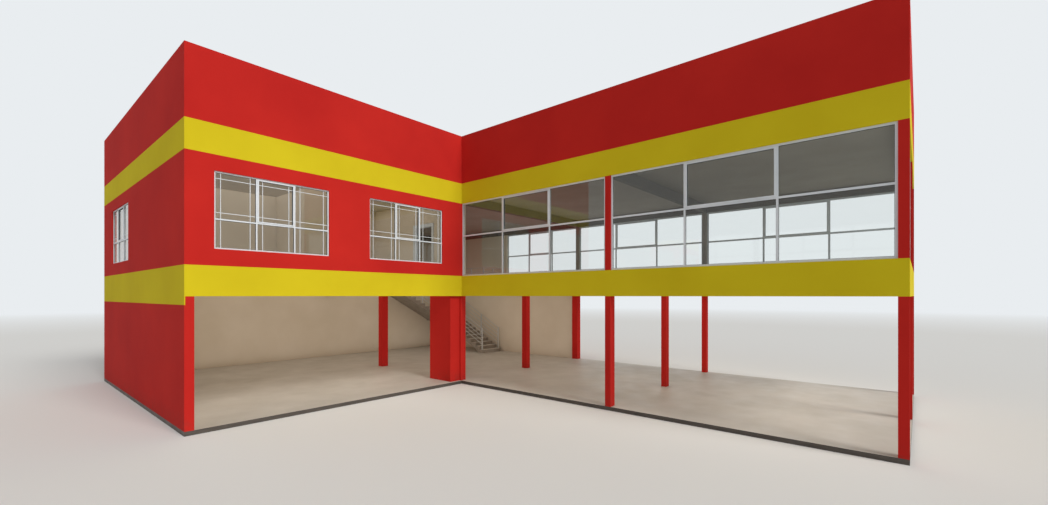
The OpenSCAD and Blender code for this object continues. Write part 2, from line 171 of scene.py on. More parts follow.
def masonry_paint(name, paint, deep, inside=None):
    """Matt masonry paint on render, and a pair of colours for a side that faces inwards."""
    mat, tree, shader, place = finish(name, IOR=1.5, Specular_IOR_Level=0.1)
    height = node(tree, "ShaderNodeSeparateXYZ", {0: place}).outputs[2]
    colour = tint(tree, paint, deep, clouds(tree, place, 2.2, 4))
    # Rain leaves faint streaks under the parapet's edge, and soil splashes dull the foot.
    streaks = node(tree, "ShaderNodeMapRange", {
        "Value": clouds(tree, place, 0.35, 3, (1, 1, 9)), "From Min": 0.5, "From Max": 0.75})
    under_edge = node(tree, "ShaderNodeMapRange", {
        "Value": height, "From Min": TOP - STREAK_H, "From Max": TOP, "To Max": 0.30})
    splashes = node(tree, "ShaderNodeMapRange", {
        "Value": clouds(tree, place, 0.12, 4), "From Min": 0.35, "From Max": 0.7})
    at_foot = node(tree, "ShaderNodeMapRange", {
        "Value": height, "From Min": GROUND_TOP, "From Max": GROUND_TOP + SPLASH_H,
        "To Min": 0.28, "To Max": 0.0})
    for pattern, where, dirt in ((streaks, under_edge, deep), (splashes, at_foot, SOIL)):
        share = node(tree, "ShaderNodeMath", {0: pattern, 1: where}, operation="MULTIPLY")
        colour = node(tree, "ShaderNodeMix", {0: share, 6: colour, 7: dirt},
                      data_type="RGBA").outputs[2]
    if inside:
        lining = tint(tree, *inside, clouds(tree, place, 1.6, 4))
        # The paint stops and the lining starts behind the window frames.
        within = node(tree, "ShaderNodeMath", {0: wall_depth(tree, place), 1: FRAME_MID},
                      operation="GREATER_THAN")
        colour = node(tree, "ShaderNodeMix", {0: within, 6: colour, 7: lining},
                      data_type="RGBA").outputs[2]
    # A roller's stipple is 2 to 3 mm across and is drawn at 14 mm to show.
    stipple = clouds(tree, place, 0.014, 2)
    waves = clouds(tree, place, 0.6, 2)
    rolled = node(tree, "ShaderNodeMath", {0: waves, 1: 2.0, 2: stipple},
                  operation="MULTIPLY_ADD")
    surface(tree, shader, colour, gloss=(stipple, 0.78, 0.90), relief=(rolled, 0.35, 0.0015))
    return mat


red_wall = masonry_paint("red_masonry_paint_and_plaster", RED, RED_DEEP,
                         (PLASTER, PLASTER_DEEP))
red_post = masonry_paint("red_masonry_paint_and_painted_hall_shade", RED, RED_DEEP,
                         (HALL_SHADE, HALL_SHADE_DEEP))
red_only = masonry_paint("red_masonry_paint", RED, RED_DEEP)
dress(red_wall, "ground_end_wall", "ground_left_wall", "ground_rear_wall", "upper_end_wall",
      "upper_front_wall", "upper_left_wall", "upper_rear_wall")
dress(red_post, "upper_front_posts", "upper_back_posts")
dress(red_only, "corner_pier", "left_wing_columns", "front_columns", "middle_columns",
      "rear_columns", "parapet_front_back", "parapet_sides")

# Bands: reinforced concrete ring beams at both floors, rendered flush with the walls and
# picked out in yellow with the same paint. Inside, the lower one is plastered as the walls
# are, and the upper one takes the beams' dark colour under the roof, which is painted shade.
YELLOW, YELLOW_DEEP = linear("D6C31F"), linear("CCB71A")
# The beams' dark colour is the ceiling paint drawn darker, as painted shade.
BEAM_SHADE, BEAM_SHADE_DEEP = linear("6A635B"), linear("615B54")
lower_band = masonry_paint("yellow_masonry_paint_and_plaster", YELLOW, YELLOW_DEEP,
                           (PLASTER, PLASTER_DEEP))
upper_band = masonry_paint("yellow_masonry_paint_and_painted_beam_shade", YELLOW, YELLOW_DEEP,
                           (BEAM_SHADE, BEAM_SHADE_DEEP))
dress(lower_band, "lower_band_front_back", "lower_band_sides")
dress(upper_band, "upper_band_front_back", "upper_band_sides")

# Partitions and soffits: skimmed by hand with gypsum plaster and rolled in flat beige,
# which is even and quite matt. The upper floors have a trowelled screed, greyer and more
# clouded, on top of the same slabs.
SCREED, SCREED_DEEP = linear("B3AA9B"), linear("9F9686")
beige, tree, shader, place = finish("flat_paint_on_plaster", IOR=1.5, Roughness=0.8)
paint = tint(tree, PLASTER, PLASTER_DEEP, clouds(tree, place, 1.6, 4))
screed = tint(tree, SCREED, SCREED_DEEP, clouds(tree, place, 0.9, 6))
# The trowel leaves waves about 90 mm wide and three times as long.
surface(tree, shader, top_and_sides(tree, screed, paint),
        relief=(clouds(tree, place, 0.09, 3, (3, 1, 1)), 0.2, 0.001))
dress(beige, "rooms_floor", "stair_hall_floor", "hall_floor", "corridor_partition",
      "rooms_partition", "hall_partition", "doorway_head")


# Roof slabs and their downstand beams: concrete cast on smooth panels, filled and sprayed
# with one flat ceiling paint. It is drawn pale over the rooms, and grey-beige over the hall
# and darker yet on the beams, as painted shade.
def ceiling_paint(name, paint, deep):
    """Flat sprayed paint on smooth concrete, with the faint waves that the panels leave."""
    mat, tree, shader, place = finish(name, IOR=1.5, Roughness=0.88,
                                      Specular_IOR_Level=0.25)
    # The panels bow between their battens, about 400 mm apart.
    surface(tree, shader, tint(tree, paint, deep, clouds(tree, place, 1.2, 4)),
            relief=(clouds(tree, place, 0.4, 3), 0.2, 0.001))
    return mat


ROOM, ROOM_DEEP = linear("CFC6B9"), linear("C5BBAE")
dress(ceiling_paint("flat_room_ceiling_paint", ROOM, ROOM_DEEP), "left_wing_roof")
# Over the hall and on the beams the paint is drawn darker, as painted shade.
dress(ceiling_paint("flat_ceiling_paint_with_painted_hall_shade", HALL_SHADE, HALL_SHADE_DEEP), "right_wing_roof")
dress(ceiling_paint("flat_ceiling_paint_with_painted_beam_shade", BEAM_SHADE, BEAM_SHADE_DEEP), "ceiling_beams")

# Stair: two flights and a landing of concrete cast in boards and rubbed down, with the
# treads floated smooth and worn paler in patches where feet fall. The treads are also drawn
# paler than the sides and risers, as painted light and shade.
STAIR, STAIR_DEEP = linear("93877A"), linear("7F7467")
TREAD, TREAD_WORN = linear("BDB3A5"), linear("CEC6BB")
stair, tree, shader, place = finish("board_marked_concrete", IOR=1.5)
# The treads' paler colour and the sides' darker one are painted light and shade; the pale
# patches on the treads are wear.
cast = tint(tree, STAIR, STAIR_DEEP, clouds(tree, place, 0.3, 6))
worn_and_lit_treads = tint(tree, TREAD_WORN, TREAD, clouds(tree, place, 0.5, 4))
# Blowholes are 3 to 8 mm across and are drawn at 20 mm to show.
surface(tree, shader, top_and_sides(tree, worn_and_lit_treads, cast),
        gloss=(clouds(tree, place, 0.08, 3), 0.5, 0.75),
        relief=(clouds(tree, place, 0.02, 4), 0.3, 0.002))
dress(stair, "lower_flight", "stair_landing", "upper_flight")

# Railings: square steel posts and round bars, welded and sprayed with pale grey enamel.
# The enamel is even and half glossy, with a slight orange peel.
ENAMEL, ENAMEL_DEEP = linear("C4C4C1"), linear("B8B8B5")
railing, tree, shader, place = finish("pale_grey_enamel_on_steel", IOR=1.5,
                                      Coat_Weight=0.3, Coat_Roughness=0.15)
# Orange peel is 1 to 2 mm across and is drawn at 4 mm to show.
surface(tree, shader, tint(tree, ENAMEL, ENAMEL_DEEP, clouds(tree, place, 0.4, 3)),
        gloss=(clouds(tree, place, 0.05, 2), 0.3, 0.42),
        relief=(clouds(tree, place, 0.004, 1), 0.1, 0.0003))
dress(railing, "lower_railing", "upper_railing", "stairwell_guard")

# Base plates: each railing post is welded to a square steel plate, which four hexagon
# bolts hold to the concrete. Plates and bolts are sprayed with the railings' enamel.
PLATE, PLATE_T, BOLT_OFF = 0.100, 0.008, 0.038
BOLT_R, BOLT_H = 0.009, 0.008
RISERS, RISER, LOWER_GOING, UPPER_GOING = 10, 0.1825, 0.350, 0.330
POST_W, POST_STEPS = 0.050, (0, 4, 8)
WELL_GAPS_FRONT, WELL_GAPS_SIDE, WELL_GAPS_END = 4, 3, 2
WALL, FIRST_RISER_X = 0.200, CORNER_X - 5.248
BACK_IN, LEFT_IN = HALF_Y - WALL, WALL - HALF_X
STAIR_W, STAIR_GAP = 1.500, 0.165
STAIR_Y, STAIR_X = BACK_IN - STAIR_W, LEFT_IN + STAIR_W
LANDING_Z, UPPER_Z = GROUND_TOP + RISERS * RISER, GROUND_TOP + 2 * RISERS * RISER
LANDING_X = FIRST_RISER_X - (RISERS - 1) * LOWER_GOING
UPPER_FOOT_Y = STAIR_Y + UPPER_GOING
UPPER_END_Y = UPPER_FOOT_Y - (RISERS - 1) * UPPER_GOING
VOID_X = FIRST_RISER_X - POST_W
HALF_PLATE = PLATE / 2


def between(start, end, gaps):
    """Middles of posts at equal distances between two ends, with whole posts at the ends."""
    first, last = start + POST_W / 2, end - POST_W / 2
    return [first + i * (last - first) / gaps for i in range(gaps + 1)]


plate_places = [Vector((FIRST_RISER_X - (i + 0.5) * LOWER_GOING, y,
                        GROUND_TOP + (i + 1) * RISER))
                for i in POST_STEPS
                for y in (STAIR_Y + HALF_PLATE, BACK_IN - STAIR_GAP - HALF_PLATE)]
plate_places += [Vector((STAIR_X - HALF_PLATE, UPPER_FOOT_Y - (i + 0.5) * UPPER_GOING,
                         LANDING_Z + (i + 1) * RISER)) for i in POST_STEPS]
plate_places += [Vector((x, STAIR_Y + HALF_PLATE, LANDING_Z))
                 for x in (STAIR_X + HALF_PLATE, LANDING_X - HALF_PLATE)]
plate_places += [Vector((x, STAIR_Y - HALF_PLATE, UPPER_Z))
                 for x in between(STAIR_X, VOID_X + POST_W, WELL_GAPS_FRONT)[1:-1]]
plate_places += [Vector((STAIR_X + HALF_PLATE, y, UPPER_Z))
                 for y in between(UPPER_END_Y, STAIR_Y, WELL_GAPS_SIDE)[:-1]]
plate_places += [Vector((VOID_X + HALF_PLATE, y, UPPER_Z))
                 for y in between(STAIR_Y - POST_W, BACK_IN, WELL_GAPS_END)[1:]]


def new_tree(name, **inputs):
    """A Geometry Nodes tree with named inputs, and its group input and output nodes."""
    tree = bpy.data.node_groups.new(name, "GeometryNodeTree")
    tree.interface.new_socket(name="Geometry", in_out="INPUT",
                              socket_type="NodeSocketGeometry")
    for key, kind in inputs.items():
        tree.interface.new_socket(name=key.replace("_", " "), in_out="INPUT",
                                  socket_type="NodeSocket" + kind)
    tree.interface.new_socket(name="Geometry", in_out="OUTPUT",
                              socket_type="NodeSocketGeometry")
    return tree, node(tree, "NodeGroupInput").outputs


def close_tree(tree, geometry, material):
    """Ends a tree in real faces with a material."""
    real = node(tree, "GeometryNodeRealizeInstances", {"Geometry": geometry})
    painted = node(tree, "GeometryNodeSetMaterial", {"Geometry": real, "Material": material})
    node(tree, "NodeGroupOutput", {"Geometry": painted})


def grow(name, tree, points, place=None, turns=(), **values):
    """Runs a tree on loose points and makes the result a plain mesh object in its place."""
    mesh = bpy.data.meshes.new(name)
    mesh.from_pydata([tuple(p) for p in points], [], [])
    if turns:
        mesh.attributes.new("turn", "FLOAT", "POINT").data.foreach_set("value", turns)
    piece = bpy.data.objects.new(name, mesh)
    bpy.context.scene.collection.objects.link(piece)
    modifier = piece.modifiers.new(tree.name, "NODES")
    modifier.node_group = tree
    named = {s.name: s.identifier for s in tree.interface.items_tree if s.in_out == "INPUT"}
    for key, value in values.items():
        modifier[named[key.replace("_", " ")]] = value
    made = piece.evaluated_get(bpy.context.evaluated_depsgraph_get())
    result = bpy.data.meshes.new_from_object(made)
    piece.modifiers.clear()
    piece.data = result
    if place is not None:
        result.transform(place)
    return piece


def keep(piece):
    """The piece rides on the building."""
    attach(piece, "root")


tree, given = new_tree("base_plates", Plate_size="Vector", Bolt_offset="Float",
                       Bolt_radius="Float", Bolt_height="Float", Material="Material")
plate = node(tree, "GeometryNodeMeshCube", {"Size": given["Plate size"]})
thickness = node(tree, "ShaderNodeSeparateXYZ", {0: given["Plate size"]}).outputs[2]
lift = node(tree, "ShaderNodeMath", {0: thickness, 1: 2.0}, operation="DIVIDE")
plate = node(tree, "GeometryNodeTransform", {
    "Geometry": plate.outputs["Mesh"],
    "Translation": node(tree, "ShaderNodeCombineXYZ", {"Z": lift})})
corners = node(tree, "GeometryNodeMeshGrid", {
    "Size X": node(tree, "ShaderNodeMath", {0: given["Bolt offset"], 1: 2.0},
                   operation="MULTIPLY"),
    "Size Y": node(tree, "ShaderNodeMath", {0: given["Bolt offset"], 1: 2.0},
                   operation="MULTIPLY"),
    "Vertices X": 2, "Vertices Y": 2})
bolt = node(tree, "GeometryNodeMeshCylinder", {"Vertices": 6, "Radius": given["Bolt radius"],
                                               "Depth": given["Bolt height"]})
bolt_z = node(tree, "ShaderNodeMath", {0: given["Bolt height"], 1: 0.5, 2: thickness},
              operation="MULTIPLY_ADD")
bolts = node(tree, "GeometryNodeInstanceOnPoints", {
    "Points": corners.outputs["Mesh"], "Instance": bolt.outputs["Mesh"]})
bolts = node(tree, "GeometryNodeTransform", {
    "Geometry": bolts, "Translation": node(tree, "ShaderNodeCombineXYZ", {"Z": bolt_z})})
one = node(tree, "GeometryNodeJoinGeometry", {"Geometry": [plate, bolts]})
all_plates = node(tree, "GeometryNodeInstanceOnPoints", {"Points": given["Geometry"],
                                                         "Instance": one})
close_tree(tree, all_plates, given["Material"])
plates = grow("railing_base_plates", tree, plate_places, Plate_size=(PLATE, PLATE, PLATE_T),
              Bolt_offset=BOLT_OFF, Bolt_radius=BOLT_R, Bolt_height=BOLT_H, Material=railing)
keep(plates)

# Window frames: hollow aluminium bars, mitred and powder-coated white before they were
# set in the openings. The coat is even and satin. The doorway's frame is painted to match.
WHITE, WHITE_DEEP = linear("DFE3E7"), linear("D2D8DD")
white, tree, shader, place = finish("white_powder_coated_aluminium", IOR=1.5,
                                    Coat_Weight=0.15, Coat_Roughness=0.2)
# The powder's orange peel is about 1 mm across and is drawn at 3 mm to show.
surface(tree, shader, tint(tree, WHITE, WHITE_DEEP, clouds(tree, place, 0.7, 3)),
        gloss=(clouds(tree, place, 0.03, 2), 0.32, 0.45),
        relief=(clouds(tree, place, 0.003, 1), 0.08, 0.0002))
dress(white, "front_window_frames", "end_window_frame", "front_glazing_frame",
      "end_glazing_frame", "rear_glazing_frame", "doorway_frame")

# Panes: clear float glass, flat and polished by its making, with the faint green that its
# iron gives it. Lamps' rays pass it unbent, so that the rooms behind are lit.
GLASS, GLASS_SHADE = linear("FAFCFB"), linear("F4F9F7")
glass, tree, shader, _ = finish("clear_float_glass", IOR=1.40, Roughness=0.0,
                                Transmission_Weight=1.0, Base_Color=GLASS)
output = next(n for n in tree.nodes if n.type == "OUTPUT_MATERIAL")
ray = node(tree, "ShaderNodeLightPath")
clear = node(tree, "ShaderNodeBsdfTransparent", {"Color": GLASS_SHADE})
lit = node(tree, "ShaderNodeMixShader",
           {0: ray.outputs["Is Shadow Ray"], 1: shader, 2: clear})
bounced = node(tree, "ShaderNodeMixShader",
               {0: ray.outputs["Is Diffuse Ray"], 1: lit, 2: clear})
tree.links.new(bounced.outputs[0], output.inputs["Surface"])
GLASS_NODES = ("front_window_glass", "end_window_glass", "front_glazing_glass",
               "end_glazing_glass", "rear_glazing_glass")
dress(glass, *GLASS_NODES)

# Gaskets: channels of extruded black rubber, pressed in round each pane to seat its edge
# in the frame. They are matt, and near black with a faint grey bloom.
GASKET_W, GASKET_PROUD, GASKET_LAP = 0.007, 0.004, 0.0005
RUBBER, RUBBER_BLOOM = linear("1E1E20"), linear("2A2A2C")


def solids(name):
    """The lowest and highest corner of each separate solid of a CAD node."""
    mesh = bmesh.new()
    mesh.from_mesh(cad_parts[name].data)
    bmesh.ops.remove_doubles(mesh, verts=mesh.verts, dist=1e-5)
    left, boxes = set(mesh.verts), []
    while left:
        todo, low, high = [left.pop()], Vector((1e9,) * 3), Vector((-1e9,) * 3)
        while todo:
            vert = todo.pop()
            low = Vector(map(min, low, vert.co))
            high = Vector(map(max, high, vert.co))
            for link in vert.link_edges:
                other = link.other_vert(vert)
                if other in left:
                    left.remove(other)
                    todo.append(other)
        boxes.append((low, high))
    mesh.free()
    return sorted(boxes, key=lambda box: tuple(round(c, 4) for c in box[0]))


def ring(mesh, low, high, outer, inner, proud):
    """A flat ring along a pane's edge. outer and inner grow or shrink the pane's own box,
    and proud is how far the ring stands out on both sides."""
    size = high - low
    deep = 0 if size.x < size.y else 1
    across = 1 - deep
    loops = []
    for grow_by in (outer, inner):
        for face in (low[deep] - proud, high[deep] + proud):
            loop = []
            for u, v in ((0, 0), (1, 0), (1, 1), (0, 1)):
                point = [0.0, 0.0, 0.0]
                point[deep] = face
                point[across] = (high[across] + grow_by) if u else (low[across] - grow_by)
                point[2] = (high.z + grow_by) if v else (low.z - grow_by)
                loop.append(mesh.verts.new(point))
            loops.append(loop)
    front, back, front_in, back_in = loops
    for i in range(4):
        j = (i + 1) % 4
        for a, b in ((front, back), (back, back_in), (back_in, front_in), (front_in, front)):
            mesh.faces.new((a[i], a[j], b[j], b[i]))


def from_bmesh(name, mesh, material):
    """A finished object from a bmesh, with its faces turned outwards."""
    bmesh.ops.recalc_face_normals(mesh, faces=mesh.faces)
    data = bpy.data.meshes.new(name)
    mesh.to_mesh(data)
    mesh.free()
    data.materials.append(material)
    piece = bpy.data.objects.new(name, data)
    bpy.context.scene.collection.objects.link(piece)
    return piece


rubber, tree, shader, place = finish("black_epdm_rubber", IOR=1.5)
surface(tree, shader, tint(tree, RUBBER, RUBBER_BLOOM, clouds(tree, place, 0.05, 3)),
        gloss=(clouds(tree, place, 0.02, 2), 0.6, 0.75))
for name in GLASS_NODES:
    mesh = bmesh.new()
    for low, high in solids(name):
        ring(mesh, low, high, GASKET_LAP, -GASKET_W, GASKET_PROUD)
    gasket = from_bmesh(name.replace("glass", "gaskets"), mesh, rubber)
    keep(gasket)

# Opening sashes: the upper middle light of each window and bay is hung in its own frame,
# of the same white bars, a little proud of the fixed ones and with rounded arrises.
SASH_PROUD, SASH_ROUND, SASH_REVEAL = 0.012, 0.003, 0.002
FRAME_D, GLASS_T = 0.060, 0.010
SASHES = {"front_window_glass": 0.034, "end_window_glass": 0.034,
          "front_glazing_glass": 0.040, "rear_glazing_glass": 0.040}
LIGHTS, SAME_ROW = 3, 0.200


def soften(mesh, radius):
    """Turns a mesh's faces outwards and rounds its arrises."""
    bmesh.ops.recalc_face_normals(mesh, faces=mesh.faces)
    arrises = [edge for edge in mesh.edges if edge.calc_face_angle(0) > 1]
    bmesh.ops.bevel(mesh, geom=arrises, offset=radius, segments=2, affect="EDGES")


for name, width in SASHES.items():
    mesh = bmesh.new()
    panes = solids(name)
    first_low, first_high = panes[0]
    across = 0 if first_high.x - first_low.x > first_high.y - first_low.y else 1
    head = max(high.z for _, high in panes)
    top_row = sorted((pane for pane in panes if pane[1].z > head - SAME_ROW),
                     key=lambda pane: pane[0][across])
    # The second of every three lights is the middle one.
    for low, high in top_row[1::LIGHTS]:
        ring(mesh, low, high, width - SASH_REVEAL, 0.0, (FRAME_D - GLASS_T) / 2 + SASH_PROUD)
    soften(mesh, SASH_ROUND)
    sash = from_bmesh(name.replace("glass", "sashes"), mesh, white)
    keep(sash)

# Border bars of the room windows: thin aluminium bars, powder-coated with the frames and
# set in from the edges of every light, so that they cross near its corners.
WINDOW_W, WINDOW_H, WINDOW_Z = 2.900, 1.915, 4.455
FRONT_WINDOW_1, FRONT_WINDOW_2, END_WINDOW = -7.735, -3.525, -10.320
BAR_W, BAR_D, BAR_IN, LEVEL_SHARE = 0.015, 0.022, 0.150, 0.8
HEAD_GAP, TRANSOM_GAP, TRANSOM_H = 0.175, 0.165, 0.735
tree, given = new_tree("border_bars", Light_width="Float", Lights="Int", Height="Float",
                       Set_in="Float", Bar_width="Float", Bar_depth="Float",
                       Upper_bar="Float", Lower_bar="Float", Material="Material")
half_height = node(tree, "ShaderNodeMath", {0: given["Height"], 1: 0.5}, operation="MULTIPLY")
upright = node(tree, "GeometryNodeMeshCube", {"Size": node(tree, "ShaderNodeCombineXYZ", {
    "X": given["Bar width"], "Y": given["Bar depth"], "Z": given["Height"]})})
far_side = node(tree, "ShaderNodeMath", {0: given["Light width"], 1: given["Set in"]},
                operation="SUBTRACT")
bars = []
for start in (given["Set in"], far_side):
    line = node(tree, "GeometryNodeMeshLine", {
        "Count": given["Lights"],
        "Start Location": node(tree, "ShaderNodeCombineXYZ", {"X": start, "Z": half_height}),
        "Offset": node(tree, "ShaderNodeCombineXYZ", {"X": given["Light width"]})})
    bars.append(node(tree, "GeometryNodeInstanceOnPoints", {
        "Points": line, "Instance": upright.outputs["Mesh"]}))
full_width = node(tree, "ShaderNodeMath", {0: given["Light width"], 1: given["Lights"]},
                  operation="MULTIPLY")
# The level bars are halved into the uprights, a little back from their faces.
level_depth = node(tree, "ShaderNodeMath", {0: given["Bar depth"], 1: LEVEL_SHARE},
                   operation="MULTIPLY")
level = node(tree, "GeometryNodeMeshCube", {"Size": node(tree, "ShaderNodeCombineXYZ", {
    "X": full_width, "Y": level_depth, "Z": given["Bar width"]})})
for height in (given["Upper bar"], given["Lower bar"]):
    middle = node(tree, "ShaderNodeMath", {0: full_width, 1: 0.5}, operation="MULTIPLY")
    bars.append(node(tree, "GeometryNodeTransform", {
        "Geometry": level.outputs["Mesh"],
        "Translation": node(tree, "ShaderNodeCombineXYZ", {"X": middle, "Z": height})}))
close_tree(tree, node(tree, "GeometryNodeJoinGeometry", {"Geometry": bars}),
           given["Material"])
BAR_VALUES = {"Light_width": WINDOW_W / LIGHTS, "Lights": LIGHTS, "Height": WINDOW_H,
              "Set_in": BAR_IN, "Bar_width": BAR_W, "Bar_depth": BAR_D,
              "Upper_bar": WINDOW_H - HEAD_GAP, "Lower_bar": TRANSOM_H + TRANSOM_GAP,
              "Material": white}
quarter = Matrix.Rotation(math.pi / 2, 4, "Z")
front_x = CORNER_X - FRAME_MID
window_places = {
    "border_bars_1": Matrix.Translation((front_x, FRONT_WINDOW_1, WINDOW_Z)) @ quarter,
    "border_bars_2": Matrix.Translation((front_x, FRONT_WINDOW_2, WINDOW_Z)) @ quarter,
    "border_bars_end": Matrix.Translation((END_WINDOW, FRAME_MID - HALF_Y, WINDOW_Z)),
}
for name, where in window_places.items():
    bar_piece = grow(name, tree, [(0, 0, 0)], where, **BAR_VALUES)
    keep(bar_piece)

# Doorway casing: planed softwood boards, mitred at the head and nailed on both sides over
# the joint between the frame and the plaster. The white eggshell paint was brushed on and
# keeps faint upright brush marks and a low sheen.
CASING_W, CASING_T, CASING_ROUND, FRAME_SHOWS = 0.125, 0.014, 0.004, 0.010
CASING_SUNK = CASING_T / 8
DOOR_X1, DOOR_X2 = CORNER_X - 2.690, CORNER_X - 1.640
DOOR_TOP, PARTITION = UPPER_Z + 2.290, 0.130
eggshell, tree, shader, place = finish("white_eggshell_paint_on_softwood", IOR=1.5)
# Brush marks are about 1 mm wide and are drawn at 4 mm to show.
marks = clouds(tree, place, 0.004, 2, (1, 1, 12))
surface(tree, shader, tint(tree, WHITE, WHITE_DEEP, clouds(tree, place, 0.25, 4)),
        gloss=(clouds(tree, place, 0.04, 3), 0.42, 0.55), relief=(marks, 0.15, 0.0004))
for side, plaster_y, out in (("room", CORNER_Y - PARTITION, -1), ("hall", CORNER_Y, 1)):
    mesh = bmesh.new()
    loops = []
    for off in (FRAME_SHOWS, FRAME_SHOWS + CASING_W):
        for y in (plaster_y - out * CASING_SUNK, plaster_y + out * CASING_T):
            loops.append([mesh.verts.new((x, y, z)) for x, z in (
                (DOOR_X1 - off, UPPER_Z), (DOOR_X1 - off, DOOR_TOP + off),
                (DOOR_X2 + off, DOOR_TOP + off), (DOOR_X2 + off, UPPER_Z))])
    ends = [loops[0], loops[1], loops[3], loops[2]]
    for i in range(4):
        one, two = ends[i], ends[(i + 1) % 4]
        for k in range(3):
            mesh.faces.new((one[k], one[k + 1], two[k + 1], two[k]))
    for k in (0, 3):
        mesh.faces.new([loop[k] for loop in ends])
    soften(mesh, CASING_ROUND)
    keep(from_bmesh("doorway_casing_" + side, mesh, eggshell))

# Roofing: sheets of slate-grey mineral felt, torched down side by side with lapped edges
# and turned up the inside of the parapet over a small fillet. The slate granules make
# it dull and speckled.
ROOF_Z, PARAPET_FOOT = 7.290, 7.510
FELT_T, LAP, SHEET = 0.005, 0.120, 0.958
BEAD_OFF, BEAD_W = 0.010, 0.025
FILLET, FILLET_FOOT, END_LAP_REACH = 0.050, 0.008, 0.35
FELT, FELT_DEEP = linear("6B6D70"), linear("55575A")
SLATE, BITUMEN = linear("8A8C8E"), linear("303133")
felt, tree, shader, place = finish("mineral_roofing_felt", IOR=1.5, Roughness=0.9)
# The slate granules are 1 to 2 mm across and are drawn at 10 mm to show.
granules = clouds(tree, place, 0.010, 2)
colour = tint(tree, FELT, FELT_DEEP, clouds(tree, place, 1.8, 5), 0.6)
# Rolls differ a little in tone, and at each lap a bead of bitumen some 10 mm wide has run
# out, which is drawn 25 mm wide to show.
run = node(tree, "ShaderNodeMath", {
    0: node(tree, "ShaderNodeSeparateXYZ", {0: place}).outputs[1], 1: BACK_IN},
    operation="ADD")
run = node(tree, "ShaderNodeMath", {0: run, 1: SHEET}, operation="DIVIDE")
roll = node(tree, "ShaderNodeTexWhiteNoise", {
    "W": node(tree, "ShaderNodeMath", {0: run}, operation="FLOOR")}, noise_dimensions="1D")
tone = node(tree, "ShaderNodeMath", {0: roll.outputs["Value"], 1: 0.45},
            operation="MULTIPLY")
colour = node(tree, "ShaderNodeMix", {0: tone, 6: colour, 7: FELT_DEEP},
              data_type="RGBA").outputs[2]
colour = tint(tree, colour, SLATE, granules, 0.5)
across_sheet = node(tree, "ShaderNodeMath", {0: run}, operation="FRACT")
bead = node(tree, "ShaderNodeMath", {0: across_sheet, 1: (LAP / 2 + BEAD_OFF) / SHEET,
                                     2: BEAD_W / 2 / SHEET}, operation="COMPARE")
colour = node(tree, "ShaderNodeMix", {0: bead, 6: colour, 7: BITUMEN},
              data_type="RGBA").outputs[2]
surface(tree, shader, colour, relief=(granules, 0.5, 0.002))
tree, given = new_tree("felt_sheets", Length="Float", Sheet_width="Float", Sheets="Int",
                       Thickness="Float", Lap="Float", Seed="Int", Material="Material")
depth = node(tree, "ShaderNodeMath", {0: given["Sheet width"], 1: given["Sheets"]},
             operation="MULTIPLY")
field = node(tree, "GeometryNodeMeshCube", {"Size": node(tree, "ShaderNodeCombineXYZ", {
    "X": given["Length"], "Y": depth, "Z": given["Thickness"]})})
mid_x = node(tree, "ShaderNodeMath", {0: given["Length"], 1: 0.5}, operation="MULTIPLY")
mid_y = node(tree, "ShaderNodeMath", {0: depth, 1: 0.5}, operation="MULTIPLY")
mid_z = node(tree, "ShaderNodeMath", {0: given["Thickness"], 1: 0.5}, operation="MULTIPLY")
field = node(tree, "GeometryNodeTransform", {
    "Geometry": field.outputs["Mesh"],
    "Translation": node(tree, "ShaderNodeCombineXYZ", {"X": mid_x, "Y": mid_y, "Z": mid_z})})
# A lap is a strip with its lower edge buried, so that it rises to one sheet's thickness.
tilt = node(tree, "ShaderNodeMath", {0: given["Thickness"], 1: given["Lap"]},
            operation="DIVIDE")
side_lap = node(tree, "GeometryNodeMeshCube", {"Size": node(tree, "ShaderNodeCombineXYZ", {
    "X": given["Length"], "Y": given["Lap"], "Z": given["Thickness"]})})
side_lap = node(tree, "GeometryNodeTransform", {
    "Geometry": side_lap.outputs["Mesh"],
    "Rotation": node(tree, "ShaderNodeCombineXYZ", {"X": tilt})})
seams = node(tree, "GeometryNodeMeshLine", {
    "Count": node(tree, "ShaderNodeMath", {0: given["Sheets"], 1: 1.0}, operation="SUBTRACT"),
    "Start Location": node(tree, "ShaderNodeCombineXYZ", {
        "X": mid_x, "Y": given["Sheet width"], "Z": given["Thickness"]}),
    "Offset": node(tree, "ShaderNodeCombineXYZ", {"Y": given["Sheet width"]})})
laps = node(tree, "GeometryNodeInstanceOnPoints", {"Points": seams, "Instance": side_lap})
# Each sheet ends somewhere along its run, over the start of the next roll.
end_lap = node(tree, "GeometryNodeMeshCube", {"Size": node(tree, "ShaderNodeCombineXYZ", {
    "X": given["Lap"], "Y": given["Sheet width"], "Z": given["Thickness"]})})
end_lap = node(tree, "GeometryNodeTransform", {
    "Geometry": end_lap.outputs["Mesh"],
    "Rotation": node(tree, "ShaderNodeCombineXYZ", {"Y": tilt})})
half_sheet = node(tree, "ShaderNodeMath", {0: given["Sheet width"], 1: 0.5},
                  operation="MULTIPLY")
rows = node(tree, "GeometryNodeMeshLine", {
    "Count": given["Sheets"],
    "Start Location": node(tree, "ShaderNodeCombineXYZ", {
        "X": mid_x, "Y": half_sheet, "Z": given["Thickness"]}),
    "Offset": node(tree, "ShaderNodeCombineXYZ", {"Y": given["Sheet width"]})})
reach = node(tree, "ShaderNodeMath", {0: given["Length"], 1: END_LAP_REACH},
             operation="MULTIPLY")
shift = node(tree, "FunctionNodeRandomValue", {
    2: node(tree, "ShaderNodeMath", {0: reach, 1: -1.0}, operation="MULTIPLY"), 3: reach,
    8: given["Seed"]}, data_type="FLOAT")
rows = node(tree, "GeometryNodeSetPosition", {
    "Geometry": rows,
    "Offset": node(tree, "ShaderNodeCombineXYZ", {"X": shift.outputs[1]})})
